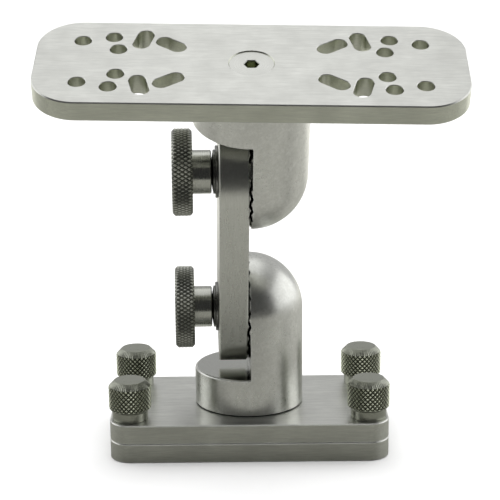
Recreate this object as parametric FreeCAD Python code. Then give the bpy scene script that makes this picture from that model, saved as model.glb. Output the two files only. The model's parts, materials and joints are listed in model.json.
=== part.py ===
import FreeCAD, Part
import math
import os

# Pan tilt camera mount: a two-plate base, two identical toothed tilt knuckles, a link arm
# between them and a slotted top plate. Millimetres, +Z up, +X to the right and +Y to the back.
# The origin is the centre of the underside of the deck plate.
# The pose is the one the joints rest in: both pan joints are a few degrees off square, the arm
# and the top plate lean to the front, and both tilt knobs are backed off, so that a small gap
# shows between the toothed faces.

# ---- plates ----
PLATE_T = 9.0
PLATE_EDGE = 0.45          # chamfer along every plate edge
BASE_W = 128.8
BASE_D = 71.5
BASE_CORNER_R = 10.0
TOP_W = 180.9
TOP_D = 62.3
TOP_CORNER_R = 19.0

# ---- holes of the top plate, in the plate's own plane, one quadrant ----
FIXING_R = 3.65            # round holes and half the width of the slots
ROUND_HOLES = [(71.4, 15.9), (58.4, 19.0), (56.0, 9.5)]
STEEP_SLOT = (45.9, 17.5, 103.5)      # centre x, centre y, direction in degrees
FLAT_SLOT = (34.0, 13.8, 36.3)
SLOT_TRAVEL = 7.2          # between the centres of a slot's two round ends

# ---- deck plate holes ----
DECK_HOLE_X = 38.0
DECK_HOLE_Y = 22.0
DECK_HOLE_R = 2.75
DECK_HEAD_R = 5.4
THUMB_X = 55.05
THUMB_Y = 24.6

# ---- thumb screws ----
THUMB_HEAD_R = 9.8
THUMB_FACE_R = 7.0
THUMB_COLLAR_R = 8.2
THUMB_LEVELS = {"collar": 4.2, "grip": 5.6, "shoulder": 15.9, "top": 18.7}  # above the base plate
THUMB_SHANK_R = 3.17
THUMB_CLEAR_R = 3.4
DECK_INSERT_R = 4.2

# ---- knuckles, in their own frame: pivot at the origin, tilt axis X, mounting face below ----
KNUCKLE_R = 25.4
PIVOT_TO_FACE = 46.1
PIVOT_TO_FLOOR = 28.9      # top of the flange that the arm's round end swings over
FLANGE_EDGE = 0.8
FACE_EDGE = 0.3
PAN_WASHER_R = 24.8
PAN_WASHER_T = 0.5

# ---- toothed faces ----
TEETH = 24
TOOTH_DEPTH = 1.0          # crest to valley at the knuckle's rim
TOOTH_RING_R = 24.6
TOOTH_CUT_R = 27.0
HUB_RECESS_R = 11.0
HUB_RECESS = 0.8
BODY_BACK = 6.0            # how far a tooth cutter reaches away from the face

# ---- tilt clamp ----
TRAVEL = 1.19              # three quarters of a turn of a 16 per inch thread
MESH_CLEAR = 0.05
RUN_CLEAR = 0.05
STUD_R = 4.76              # three eighths of an inch thread
STUD_END = 15.5
STUD_START = -31.0
STUD_POINT = 0.8
INSERT_R = 5.6
INSERT_START = 5.0
INSERT_END = 17.0
STUD_HOLE_END = 19.5
SPRING_POCKET_R = 8.2
SPRING_R = 6.95
SPRING_WIRE = 0.9          # square wire
SPRING_TURNS = 3.5
FLAT_WASHER_R = 11.5
FLAT_WASHER_T = 1.3
CONE_WASHER_R = 9.7
CONE_WASHER_T = 0.9
CONE_WASHER_H = 1.66
NECK_R = 9.62
NECK_L = 8.2
KNOB_R = 19.18
KNOB_T = 8.95
KNOB_EDGE = 1.3

# ---- link arm ----
ARM_T = 12.9
ARM_W = 2 * KNUCKLE_R
ARM_L = 80.5               # pivot to pivot
ARM_EDGE = 0.5
BUSH_R = 6.35
SPRING_SEAT = 2.0          # depth of the spring's seat below the arm's toothed face

# ---- pan screws ----
SCREW_R = 4.76
SCREW_HEAD_R = 9.7
SCREW_HEAD_RIM = 0.4
SCREW_HEAD_HALF_ANGLE = 41.0
SCREW_SINK = 0.15
SCREW_GRIP = 14.0
SCREW_SOCKET = 5.56        # across flats
SCREW_SOCKET_DEPTH = 4.4
SCREW_HOLE_EXTRA = 1.0

# ---- rest pose ----
LOWER_PAN = 2.0            # of everything above the base, about the vertical
ARM_LEAN = 27.2            # of the arm from the vertical, to the front
PLATE_LEAN = 25.0          # of the top plate from the horizontal, to the front
UPPER_PAN = -2.75          # of the top plate about its own normal

# ---- worked out from the above ----
BASE_TOP = 2 * PLATE_T
PIVOT_Z = BASE_TOP + PAN_WASHER_T + PIVOT_TO_FACE
PLATE_NEAR = PIVOT_TO_FACE + PAN_WASHER_T
PLATE_FAR = PLATE_NEAR + PLATE_T
ARM_FACE = -(TRAVEL + MESH_CLEAR)
ARM_BACK = ARM_FACE - ARM_T
SPRING_LEFT = ARM_FACE - SPRING_SEAT
WASHER_LEFT = ARM_BACK - FLAT_WASHER_T
NECK_END = WASHER_LEFT - CONE_WASHER_H
HEAD_FACE = NECK_END - NECK_L
KNOB_FACE = HEAD_FACE - KNOB_T
TOOTH_PITCH = 360.0 / TEETH
LEAN = math.radians(ARM_LEAN)
LOWER_PIVOT = FreeCAD.Vector(0, 0, PIVOT_Z)

ORIGIN = FreeCAD.Vector(0, 0, 0)
X = FreeCAD.Vector(1, 0, 0)
Z = FreeCAD.Vector(0, 0, 1)


def rod(radius, start, end, direction=X, at=ORIGIN):
    """A round rod along a direction, from start to end measured from at."""
    base = at + direction * min(start, end)
    return Part.makeCylinder(radius, abs(end - start), base, direction)


def tube(inner, outer, start, end, direction=X):
    return rod(outer, start, end, direction).cut(rod(inner, start, end, direction))


def turned(profile, direction):
    """A solid of revolution about a direction through the origin, from (along, radius) points."""
    side = Z if direction == X else X
    points = [direction * along + side * radius for along, radius in profile]
    face = Part.Face(Part.makePolygon(points + points[:1]))
    return face.revolve(ORIGIN, direction, 360)


def mirrored_quadrants(x, y):
    return [(sx * x, sy * y) for sx in (-1, 1) for sy in (-1, 1)]


def rounded_plate(width, depth, corner, bottom):
    """A plate with rounded corners and chamfered edges, its underside at bottom."""
    box = Part.makeBox(width, depth, PLATE_T, FreeCAD.Vector(-width / 2, -depth / 2, bottom))
    upright = [e for e in box.Edges if abs(e.tangentAt(e.FirstParameter).z) > 0.9]
    plate = box.makeFillet(corner, upright)
    levels = (bottom, bottom + PLATE_T)
    rims = [e for e in plate.Edges if any(on_level(e, z) for z in levels)]
    return plate.makeChamfer(PLATE_EDGE, rims)


def on_level(edge, level):
    return all(abs(vertex.Z - level) < 1e-6 for vertex in edge.Vertexes)


def screw_seat(clearance):
    """A flat head screw's envelope in a plate, in the knuckle frame, widened by a clearance."""
    top = -PLATE_FAR + SCREW_SINK
    slope = math.tan(math.radians(SCREW_HEAD_HALF_ANGLE))
    rim = top + SCREW_HEAD_RIM
    neck = rim + (SCREW_HEAD_R - SCREW_R) / slope
    return top, rim, neck, [(rim, SCREW_HEAD_R + clearance), (neck, SCREW_R + clearance)]


def pan_screw():
    top, rim, neck, cone = screw_seat(0.0)
    end = -PIVOT_TO_FACE + SCREW_GRIP
    profile = [(top, 0), (top, SCREW_HEAD_R)] + cone
    profile += [(end - STUD_POINT, SCREW_R), (end, SCREW_R - STUD_POINT), (end, 0)]
    screw = turned(profile, Z)
    corner = SCREW_SOCKET / math.sqrt(3)
    points = []
    for step in range(6):
        angle = math.radians(60 * step)
        points.append(FreeCAD.Vector(corner * math.cos(angle), corner * math.sin(angle), top))
    socket = Part.Face(Part.makePolygon(points + points[:1])).extrude(Z * SCREW_SOCKET_DEPTH)
    return screw.cut(socket)


def screw_countersink():
    """What a plate loses for a pan screw, in the knuckle frame."""
    cone = screw_seat(RUN_CLEAR)[3]
    profile = [(-PLATE_FAR - 1, 0), (-PLATE_FAR - 1, SCREW_HEAD_R + RUN_CLEAR)] + cone
    profile += [(-PLATE_NEAR + 1, SCREW_R + RUN_CLEAR), (-PLATE_NEAR + 1, 0)]
    return turned(profile, Z)


def pan_washer():
    level = -PIVOT_TO_FACE
    return tube(SCREW_R + RUN_CLEAR, PAN_WASHER_R, level - PAN_WASHER_T, level, Z)


def tooth_cutter(face, phase, side):
    """A solid on one side of a star of radial teeth whose mean plane is x = face.

    Every flank is flat and runs through the middle of the face, so that the teeth get
    shallower towards the pivot and two such stars half a pitch apart fill each other."""
    height = TOOTH_DEPTH / 2 * TOOTH_CUT_R / KNUCKLE_R
    middle = FreeCAD.Vector(face, 0, 0)
    far = face + side * BODY_BACK
    near_rim = []
    far_rim = []
    for step in range(2 * TEETH):
        angle = math.radians(phase + step * TOOTH_PITCH / 2)
        y = TOOTH_CUT_R * math.cos(angle)
        z = TOOTH_CUT_R * math.sin(angle)
        crest = -side if step % 2 else side
        near_rim.append(FreeCAD.Vector(face + crest * height, y, z))
        far_rim.append(FreeCAD.Vector(far, y, z))
    faces = [Part.Face(Part.makePolygon(far_rim + far_rim[:1]))]
    for step in range(2 * TEETH):
        after = (step + 1) % (2 * TEETH)
        flank = [middle, near_rim[step], near_rim[after], middle]
        wall = [near_rim[step], near_rim[after], far_rim[after], far_rim[step], near_rim[step]]
        faces.append(Part.Face(Part.makePolygon(flank)))
        faces.append(Part.Face(Part.makePolygon(wall)))
    solid = Part.makeSolid(Part.makeShell(faces))
    if solid.Volume < 0:
        solid.reverse()
    return solid


def knuckle():
    """A round post with a domed end, one side milled away down to a flange, teeth on the flat."""
    low = -PIVOT_TO_FACE
    foot = [
        Part.makeLine(FreeCAD.Vector(0, 0, low), FreeCAD.Vector(KNUCKLE_R - FACE_EDGE, 0, low)),
        Part.makeLine(FreeCAD.Vector(KNUCKLE_R - FACE_EDGE, 0, low),
                      FreeCAD.Vector(KNUCKLE_R, 0, low + FACE_EDGE)),
        Part.makeLine(FreeCAD.Vector(KNUCKLE_R, 0, low + FACE_EDGE), FreeCAD.Vector(KNUCKLE_R, 0, 0)),
    ]
    slant = KNUCKLE_R * math.sqrt(0.5)
    dome = Part.Arc(FreeCAD.Vector(KNUCKLE_R, 0, 0), FreeCAD.Vector(slant, 0, slant),
                    FreeCAD.Vector(0, 0, KNUCKLE_R)).toShape()
    back = Part.makeLine(FreeCAD.Vector(0, 0, KNUCKLE_R), FreeCAD.Vector(0, 0, low))
    post = Part.Face(Part.Wire(foot + [dome, back])).revolve(ORIGIN, Z, 360)
    right_half = Part.makeBox(60, 120, 120, FreeCAD.Vector(0, -60, -60))
    floor = -PIVOT_TO_FLOOR
    flange = turned([(low, 0), (low, KNUCKLE_R - FACE_EDGE), (low + FACE_EDGE, KNUCKLE_R),
                     (floor - FLANGE_EDGE, KNUCKLE_R), (floor, KNUCKLE_R - FLANGE_EDGE),
                     (floor, 0)], Z)
    body = post.common(right_half).fuse(flange)
    body = body.fuse(rod(TOOTH_RING_R, -TOOTH_DEPTH, TOOTH_DEPTH / 2))
    body = body.cut(tooth_cutter(0.0, 0.0, -1))
    body = body.cut(rod(HUB_RECESS_R, -BODY_BACK, HUB_RECESS))
    body = body.cut(rod(SPRING_POCKET_R, 0, INSERT_START))
    body = body.cut(rod(INSERT_R, 0, INSERT_END))
    body = body.cut(rod(STUD_R + RUN_CLEAR, 0, STUD_HOLE_END))
    body = body.cut(rod(SCREW_R, low, low + SCREW_GRIP + SCREW_HOLE_EXTRA, Z))
    return body.removeSplitter()


def thread_insert():
    return tube(STUD_R + RUN_CLEAR, INSERT_R, INSERT_START, INSERT_END)


def knob():
    """The knurled tilt knob and its turned neck, bored for the stud."""
    profile = [(KNOB_FACE, 0), (KNOB_FACE, KNOB_R - KNOB_EDGE), (KNOB_FACE + KNOB_EDGE, KNOB_R),
               (HEAD_FACE - KNOB_EDGE, KNOB_R), (HEAD_FACE, KNOB_R - KNOB_EDGE),
               (HEAD_FACE, NECK_R), (NECK_END - PLATE_EDGE, NECK_R),
               (NECK_END, NECK_R - PLATE_EDGE), (NECK_END, 0)]
    return turned(profile, X).cut(rod(STUD_R, STUD_START, 0))


def stud():
    return turned([(STUD_START, 0), (STUD_START, STUD_R), (STUD_END - STUD_POINT, STUD_R),
                   (STUD_END, STUD_R - STUD_POINT), (STUD_END, 0)], X)


def flat_washer():
    return tube(STUD_R + RUN_CLEAR, FLAT_WASHER_R, WASHER_LEFT, ARM_BACK)


def cone_washer():
    """A conical spring washer, its small end against the knob's neck."""
    inner = STUD_R + 2 * RUN_CLEAR
    return turned([(NECK_END, inner), (NECK_END + CONE_WASHER_T, inner),
                   (WASHER_LEFT, CONE_WASHER_R), (WASHER_LEFT - CONE_WASHER_T, CONE_WASHER_R)], X)


def release_spring():
    """A coil spring of square wire, from its seat in the arm to the floor of the knuckle's pocket."""
    half = SPRING_WIRE / 2
    pitch = (INSERT_START - SPRING_LEFT - SPRING_WIRE) / SPRING_TURNS
    helix = Part.makeHelix(pitch, SPRING_TURNS * pitch, SPRING_R)
    corners = [(-half, -half), (half, -half), (half, half), (-half, half), (-half, -half)]
    section = Part.makePolygon([FreeCAD.Vector(SPRING_R + r, 0, z) for r, z in corners])
    coil = Part.Wire(helix.Edges).makePipeShell([section], True, True)
    coil.rotate(ORIGIN, FreeCAD.Vector(0, 1, 0), 90)
    coil.translate(FreeCAD.Vector(SPRING_LEFT + half, 0, 0))
    return coil


def link_arm():
    """The arm, upright above its lower pivot: round ends, toothed discs on its right face."""
    half = ARM_W / 2
    top = FreeCAD.Vector(0, 0, ARM_L)
    bar = Part.makeBox(ARM_T, ARM_W, ARM_L, FreeCAD.Vector(ARM_BACK, -half, 0))
    bar = bar.fuse(rod(half, ARM_BACK, ARM_FACE)).fuse(rod(half, ARM_BACK, ARM_FACE, X, top))
    bar = bar.removeSplitter()
    rims = [e for e in bar.Edges if len({round(v.X, 4) for v in e.Vertexes}) == 1]
    bar = bar.makeChamfer(ARM_EDGE, rims)
    for centre, mate_angle in ((ORIGIN, ARM_LEAN), (top, ARM_LEAN - PLATE_LEAN)):
        disc = rod(TOOTH_RING_R, ARM_FACE - ARM_EDGE, ARM_FACE + TOOTH_DEPTH, X, centre)
        cutter = tooth_cutter(ARM_FACE, TOOTH_PITCH / 2 - mate_angle, 1)
        cutter.translate(centre)
        bar = bar.fuse(disc).cut(cutter)
        bar = bar.cut(rod(HUB_RECESS_R, ARM_FACE - HUB_RECESS, BODY_BACK, X, centre))
        bar = bar.cut(rod(SPRING_POCKET_R, SPRING_LEFT, BODY_BACK, X, centre))
        bar = bar.cut(rod(BUSH_R, ARM_BACK, BODY_BACK, X, centre))
    return bar.removeSplitter()


def arm_bushing():
    return tube(STUD_R + RUN_CLEAR, BUSH_R, ARM_BACK, SPRING_LEFT)


def thumb_screw():
    """A knurled thumb screw standing on the base plate, its shank reaching into the deck plate."""
    above = {name: BASE_TOP + level for name, level in THUMB_LEVELS.items()}
    tip = 1.5
    return turned([(tip, 0), (tip, THUMB_SHANK_R - STUD_POINT), (tip + STUD_POINT, THUMB_SHANK_R),
                   (BASE_TOP, THUMB_SHANK_R), (BASE_TOP, THUMB_COLLAR_R),
                   (above["collar"], THUMB_COLLAR_R), (above["grip"], THUMB_HEAD_R),
                   (above["shoulder"], THUMB_HEAD_R), (above["top"], THUMB_FACE_R),
                   (above["top"], 0)], Z)


def deck_insert():
    return tube(THUMB_SHANK_R + RUN_CLEAR, DECK_INSERT_R, PLATE_EDGE, PLATE_T, Z)


def moved(shape, x, y):
    copy = shape.copy()
    copy.translate(FreeCAD.Vector(x, y, 0))
    return copy


def deck_plate():
    """The lower plate: four countersunk deck screw holes and four bores for thread inserts."""
    plate = rounded_plate(BASE_W, BASE_D, BASE_CORNER_R, 0)
    sink = DECK_HEAD_R - DECK_HOLE_R
    deck_hole = turned([(-1, 0), (-1, DECK_HOLE_R), (PLATE_T - sink, DECK_HOLE_R),
                        (PLATE_T, DECK_HEAD_R), (PLATE_T + 1, DECK_HEAD_R), (PLATE_T + 1, 0)], Z)
    insert_bore = rod(DECK_INSERT_R, -1, PLATE_T + 1, Z)
    for x, y in mirrored_quadrants(DECK_HOLE_X, DECK_HOLE_Y):
        plate = plate.cut(moved(deck_hole, x, y))
    for x, y in mirrored_quadrants(THUMB_X, THUMB_Y):
        plate = plate.cut(moved(insert_bore, x, y))
    return plate


def base_plate():
    """The upper plate of the base: four thumb screw holes and the pan screw's countersink."""
    plate = rounded_plate(BASE_W, BASE_D, BASE_CORNER_R, PLATE_T)
    for x, y in mirrored_quadrants(THUMB_X, THUMB_Y):
        plate = plate.cut(moved(rod(THUMB_CLEAR_R, PLATE_T - 1, BASE_TOP + 1, Z), x, y))
    sink = screw_countersink()
    sink.translate(LOWER_PIVOT)
    return plate.cut(sink)


def slot(x, y, angle):
    """A slot through the top plate, in the knuckle frame."""
    half = SLOT_TRAVEL / 2
    low = -PLATE_FAR - 1
    high = PLATE_T + 2
    box = Part.makeBox(SLOT_TRAVEL, 2 * FIXING_R, high, FreeCAD.Vector(-half, -FIXING_R, low))
    cut = box
    for end in (-half, half):
        cut = cut.fuse(Part.makeCylinder(FIXING_R, high, FreeCAD.Vector(end, 0, low)))
    cut = cut.removeSplitter()
    cut.rotate(ORIGIN, Z, angle)
    return moved(cut, x, y)


def top_plate():
    """The plate that carries the equipment, in the knuckle frame: holes and slots at both ends."""
    plate = rounded_plate(TOP_W, TOP_D, TOP_CORNER_R, -PLATE_FAR)
    for hole_x, hole_y in ROUND_HOLES:
        for x, y in mirrored_quadrants(hole_x, hole_y):
            hole = rod(FIXING_R, -PLATE_FAR - 1, -PLATE_NEAR + 1, Z)
            plate = plate.cut(moved(hole, x, y))
    for slot_x, slot_y, angle in (STEEP_SLOT, FLAT_SLOT):
        for x, y in mirrored_quadrants(slot_x, slot_y):
            plate = plate.cut(slot(x, y, -angle if x * y < 0 else angle))
    return plate.cut(screw_countersink())


def at_lower_joint(shape):
    placed = shape.copy()
    placed.translate(LOWER_PIVOT)
    return panned(placed)


def at_arm(shape):
    """From the upright arm to its leaning rest pose."""
    placed = shape.copy()
    placed.rotate(ORIGIN, X, ARM_LEAN)
    placed.translate(LOWER_PIVOT)
    return panned(placed)


def at_upper_joint(shape):
    """From the knuckle frame to the upper pivot: turned over, then leaned to the front."""
    placed = shape.copy()
    placed.rotate(ORIGIN, X, 180 + PLATE_LEAN)
    placed.translate(LOWER_PIVOT)
    placed.translate(FreeCAD.Vector(0, -ARM_L * math.sin(LEAN), ARM_L * math.cos(LEAN)))
    return panned(placed)


def panned(shape):
    shape.rotate(ORIGIN, Z, LOWER_PAN)
    return shape


def panned_top_plate():
    plate = top_plate()
    plate.rotate(ORIGIN, Z, -UPPER_PAN)
    return plate


def build():
    parts = {
        "deck_plate": deck_plate(),
        "base_plate": base_plate(),
        "link_arm": at_arm(link_arm()),
        "top_plate": at_upper_joint(panned_top_plate()),
    }
    inserts = [moved(deck_insert(), x, y) for x, y in mirrored_quadrants(THUMB_X, THUMB_Y)]
    parts["deck_thread_inserts"] = Part.makeCompound(inserts)
    corners = {"front_left": (-1, -1), "front_right": (1, -1),
               "back_left": (-1, 1), "back_right": (1, 1)}
    for name, (sx, sy) in corners.items():
        parts["thumb_screw_" + name] = moved(thumb_screw(), sx * THUMB_X, sy * THUMB_Y)
    joint_pieces = {
        "knuckle": knuckle(),
        "thread_insert": thread_insert(),
        "pan_screw": pan_screw(),
        "pan_washer": pan_washer(),
        "tilt_knob": knob(),
        "knob_stud": stud(),
        "flat_washer": flat_washer(),
        "cone_washer": cone_washer(),
        "release_spring": release_spring(),
    }
    for name, shape in joint_pieces.items():
        parts["lower_" + name] = at_lower_joint(shape)
        parts["upper_" + name] = at_upper_joint(shape)
    parts["lower_arm_bushing"] = at_lower_joint(arm_bushing())
    parts["upper_arm_bushing"] = at_upper_joint(arm_bushing())
    return parts


os.makedirs("parts", exist_ok=True)
for node, shape in build().items():
    if not shape.isValid():
        print("not valid:", node)
    shape.exportStep("parts/" + node + ".step")
    print(node, "solids", len(shape.Solids), "volume", round(shape.Volume, 1))
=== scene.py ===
import json
import math

import bmesh
import bpy
from mathutils import Matrix, Vector


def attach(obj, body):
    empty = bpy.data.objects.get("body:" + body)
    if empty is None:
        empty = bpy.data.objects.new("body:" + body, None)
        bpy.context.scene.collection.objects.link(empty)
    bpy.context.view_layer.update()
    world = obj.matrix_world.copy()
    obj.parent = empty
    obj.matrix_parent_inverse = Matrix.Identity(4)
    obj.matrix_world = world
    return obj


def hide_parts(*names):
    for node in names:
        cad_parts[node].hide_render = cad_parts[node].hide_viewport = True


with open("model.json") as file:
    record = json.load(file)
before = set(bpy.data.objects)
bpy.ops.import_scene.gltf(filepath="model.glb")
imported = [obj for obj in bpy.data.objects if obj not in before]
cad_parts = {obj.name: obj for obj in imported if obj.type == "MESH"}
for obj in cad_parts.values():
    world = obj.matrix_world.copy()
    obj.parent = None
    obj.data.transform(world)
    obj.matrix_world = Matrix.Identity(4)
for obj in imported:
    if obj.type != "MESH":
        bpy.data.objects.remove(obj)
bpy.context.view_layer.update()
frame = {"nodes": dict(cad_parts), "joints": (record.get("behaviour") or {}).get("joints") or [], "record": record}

# Pan tilt camera mount. Metres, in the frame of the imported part: +Z up, +X right, +Y back.
# Most visible pieces are rebuilt here with finer meshes, rounded edges and real knurls.
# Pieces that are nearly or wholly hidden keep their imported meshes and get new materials.

MM = 0.001

# ---- plates ----
PLATE_T = 9.0 * MM
PLATE_EDGE = 0.45 * MM
BASE_W = 128.8 * MM
BASE_D = 71.5 * MM
BASE_CORNER_R = 10.0 * MM
TOP_W = 180.9 * MM
TOP_D = 62.3 * MM
TOP_CORNER_R = 19.0 * MM
HOLE_EDGE = 0.22 * MM
FIXING_R = 3.65 * MM
ROUND_HOLES = [(71.4 * MM, 15.9 * MM), (58.4 * MM, 19.0 * MM), (56.0 * MM, 9.5 * MM)]
SLOTS = [(45.9 * MM, 17.5 * MM, 103.5), (34.0 * MM, 13.8 * MM, 36.3)]
SLOT_TRAVEL = 7.2 * MM
DECK_HOLE = (38.0 * MM, 22.0 * MM)
DECK_HOLE_R = 2.75 * MM
DECK_HEAD_R = 5.4 * MM
DECK_INSERT_R = 4.2 * MM
THUMB = (55.05 * MM, 24.6 * MM)
THUMB_CLEAR_R = 3.4 * MM

# ---- knuckle frame: pivot at the origin, tilt axis along X, the knuckle's plate below ----
KNUCKLE_R = 25.4 * MM
PIVOT_TO_FACE = 46.1 * MM
PIVOT_TO_FLOOR = 28.9 * MM
FLANGE_EDGE = 0.8 * MM
FACE_EDGE = 0.3 * MM
PAN_WASHER_R = 24.8 * MM
PAN_WASHER_T = 0.5 * MM
PLATE_NEAR = PIVOT_TO_FACE + PAN_WASHER_T
PLATE_FAR = PLATE_NEAR + PLATE_T
TEETH = 24
TOOTH_DEPTH = 1.0 * MM
TOOTH_RING_R = 24.6 * MM
TOOTH_CUT_R = 27.0 * MM
HUB_RECESS_R = 11.0 * MM
HUB_RECESS = 0.8 * MM

# ---- tilt clamp, along X in the knuckle frame ----
STUD_R = 4.76 * MM
RUN_CLEAR = 0.05 * MM
ARM_FACE = -1.24 * MM
ARM_T = 12.9 * MM
ARM_BACK = ARM_FACE - ARM_T
SPRING_POCKET_R = 8.2 * MM
SPRING_SEAT = 2.0 * MM
BUSH_R = 6.35 * MM
FLAT_WASHER_R = 11.5 * MM
FLAT_WASHER_T = 1.3 * MM
CONE_WASHER_R = 9.7 * MM
CONE_WASHER_T = 0.9 * MM
CONE_WASHER_H = 1.66 * MM
NECK_R = 9.62 * MM
NECK_L = 8.2 * MM
KNOB_R = 19.18 * MM
KNOB_T = 8.95 * MM
KNOB_EDGE = 1.3 * MM
WASHER_LEFT = ARM_BACK - FLAT_WASHER_T
NECK_END = WASHER_LEFT - CONE_WASHER_H
HEAD_FACE = NECK_END - NECK_L
KNOB_FACE = HEAD_FACE - KNOB_T

# ---- thumb screws, above the base plate ----
THUMB_HEAD_R = 9.8 * MM
THUMB_FACE_R = 7.0 * MM
THUMB_COLLAR_R = 8.2 * MM
THUMB_COLLAR_TOP = 4.2 * MM
THUMB_GRIP_LOW = 5.6 * MM
THUMB_GRIP_HIGH = 15.9 * MM
THUMB_TOP = 18.7 * MM
THUMB_SHANK_R = 3.17 * MM

# ---- pan screws ----
SCREW_HEAD_R = 9.7 * MM
SCREW_RIM = 0.4 * MM
SCREW_SINK = 0.45 * MM
SCREW_GAP = 0.22 * MM
SCREW_HALF_ANGLE = math.radians(41)
SCREW_GRIP = 14.0 * MM
SOCKET_FLATS = 5.56 * MM
SOCKET_DEPTH = 4.4 * MM

# ---- knurls: diamonds round the piece, their pitch along it and their depth ----
KNOB_KNURLS = 64
KNOB_KNURL_PITCH = 3.05 * MM
KNOB_KNURL_DEPTH = 0.5 * MM
THUMB_KNURLS = 28
THUMB_KNURL_PITCH = 2.25 * MM
THUMB_KNURL_DEPTH = 0.65 * MM
GROOVE_HALF_WIDTH = 0.43    # share of the pitch

# ---- mesh fineness ----
ROUND = 192
SMALL_ROUND = 96
CREASE = math.radians(32)
SLIVER = 0.025 * MM         # points closer than this are merged after the cuts
SKIN_BAND = 0.06 * MM       # how far under a round wall a face's centre may lie
CUT_REACH = 60 * MM         # how far a cutting box goes, past any piece

joints = {joint["name"]: joint for joint in frame["joints"]}
mounts = {mount["name"]: mount for mount in frame["record"]["mounts"]}


# ======== frames ========

def axes_matrix(origin, x_axis, z_axis):
    x = Vector(x_axis).normalized()
    z = Vector(z_axis).normalized()
    turn = Matrix((x, z.cross(x), z)).transposed().to_4x4()
    return Matrix.Translation(origin) @ turn


TILT_AXIS = Vector(joints["lower_tilt"]["axis"])
LOWER_PIVOT = Vector(joints["lower_tilt"]["pos_m"])
UPPER_PIVOT = Vector(joints["upper_tilt"]["pos_m"])
PLATE_NORMAL = Vector(joints["upper_pan"]["axis"])
PLATE_LONG = Vector(mounts["right_outer_holes"]["pos_m"]) - Vector(mounts["left_outer_holes"]["pos_m"])
ARM_LENGTH = (UPPER_PIVOT - LOWER_PIVOT).length
LOWER = axes_matrix(LOWER_PIVOT, TILT_AXIS, (0, 0, 1))
UPPER = axes_matrix(UPPER_PIVOT, TILT_AXIS, -PLATE_NORMAL)
ARM = axes_matrix(LOWER_PIVOT, TILT_AXIS, UPPER_PIVOT - LOWER_PIVOT)
TOP = axes_matrix(UPPER_PIVOT, PLATE_LONG, -PLATE_NORMAL)
WORLD = Matrix.Identity(4)
ALONG_X = Matrix.Rotation(math.pi / 2, 4, "Y")    # turns a piece made about Z to lie along X
FACING_X = Matrix(((0, 0, 1, 0), (1, 0, 0, 0), (0, 1, 0, 0), (0, 0, 0, 1)))    # outline's x, y to Y, Z


# ======== mesh tools ========

def object_from(name, bm, matrix=WORLD):
    bmesh.ops.recalc_face_normals(bm, faces=bm.faces)
    mesh = bpy.data.meshes.new(name)
    bm.to_mesh(mesh)
    bm.free()
    obj = bpy.data.objects.new(name, mesh)
    bpy.context.scene.collection.objects.link(obj)
    obj.matrix_world = matrix
    return obj


def rings_to_mesh(rings, bm):
    """Joins rings of equally many points with quads and closes both ends with a face."""
    rows = [[bm.verts.new(point) for point in ring] for ring in rings]
    count = len(rows[0])
    for low, high in zip(rows, rows[1:]):
        for i in range(count):
            j = (i + 1) % count
            bm.faces.new((low[i], low[j], high[j], high[i]))
    bm.faces.new(list(reversed(rows[0])))
    bm.faces.new(rows[-1])
    return bm


def prism(name, levels, matrix=WORLD):
    """A solid through level outlines, given as (height, [(x, y), ...]) from bottom to top."""
    rings = [[(x, y, height) for x, y in outline] for height, outline in levels]
    return object_from(name, rings_to_mesh(rings, bmesh.new()), matrix)


def fillet(profile, radius, steps=4):
    """Rounds the inner corners of an open (radius, height) profile with small arcs."""
    points = [Vector(p) for p in profile]
    out = [points[0]]
    for before, corner, after in zip(points, points[1:], points[2:]):
        a = (before - corner)
        b = (after - corner)
        bend = a.angle(b)
        if bend > math.radians(170):
            out.append(corner)
            continue
        reach = min(radius / math.tan(bend / 2), a.length * 0.45, b.length * 0.45)
        start = corner + a.normalized() * reach
        end = corner + b.normalized() * reach
        for step in range(steps + 1):
            t = step / steps
            out.append(start.lerp(corner, t).lerp(corner.lerp(end, t), t))
    out.append(points[-1])
    return [tuple(p) for p in out]


def lathe(name, profile, matrix=WORLD, steps=ROUND, groove=None):
    """A solid turned about Z from a (radius, height) profile that starts and ends on the axis.

    groove(angle, height, radius), if given, returns the radius after knurling and how near the
    point is to a crest, from 0 to 1."""
    bm = bmesh.new()
    crest = bm.verts.layers.float.new("crest") if groove else None
    tips = [bm.verts.new((0, 0, profile[0][1])), bm.verts.new((0, 0, profile[-1][1]))]
    rows = []
    for radius, height in profile[1:-1]:
        row = []
        for i in range(steps):
            angle = 2 * math.pi * i / steps
            r, lift = groove(angle, height, radius) if groove else (radius, 1)
            row.append(bm.verts.new((r * math.cos(angle), r * math.sin(angle), height)))
            if groove:
                row[-1][crest] = lift
        rows.append(row)
    for low, high in zip(rows, rows[1:]):
        for i in range(steps):
            j = (i + 1) % steps
            bm.faces.new((low[i], low[j], high[j], high[i]))
    for tip, row in zip(tips, (rows[0], rows[-1])):
        for i in range(steps):
            bm.faces.new((tip, row[(i + 1) % steps], row[i]))
    return object_from(name, bm, matrix)


def ring(name, profile, matrix=WORLD, steps=ROUND):
    """A solid turned about Z from a closed (radius, height) profile that stays off the axis."""
    bm = bmesh.new()
    rows = []
    for radius, height in profile:
        turn = [2 * math.pi * i / steps for i in range(steps)]
        rows.append([bm.verts.new((radius * math.cos(a), radius * math.sin(a), height)) for a in turn])
    for low, high in zip(rows, rows[1:] + rows[:1]):
        for i in range(steps):
            j = (i + 1) % steps
            bm.faces.new((low[i], low[j], high[j], high[i]))
    return object_from(name, bm, matrix)


def combine(obj, cutter, operation="DIFFERENCE"):
    """Applies a boolean in the two objects' shared local frame and removes the cutter."""
    kept = obj.matrix_world.copy()
    obj.matrix_world = WORLD
    bpy.context.view_layer.update()
    modifier = obj.modifiers.new("cut", "BOOLEAN")
    modifier.operation = operation
    modifier.solver = "EXACT"
    modifier.object = cutter
    apply_modifiers(obj)
    bpy.data.objects.remove(cutter)
    obj.matrix_world = kept
    return obj


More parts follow.
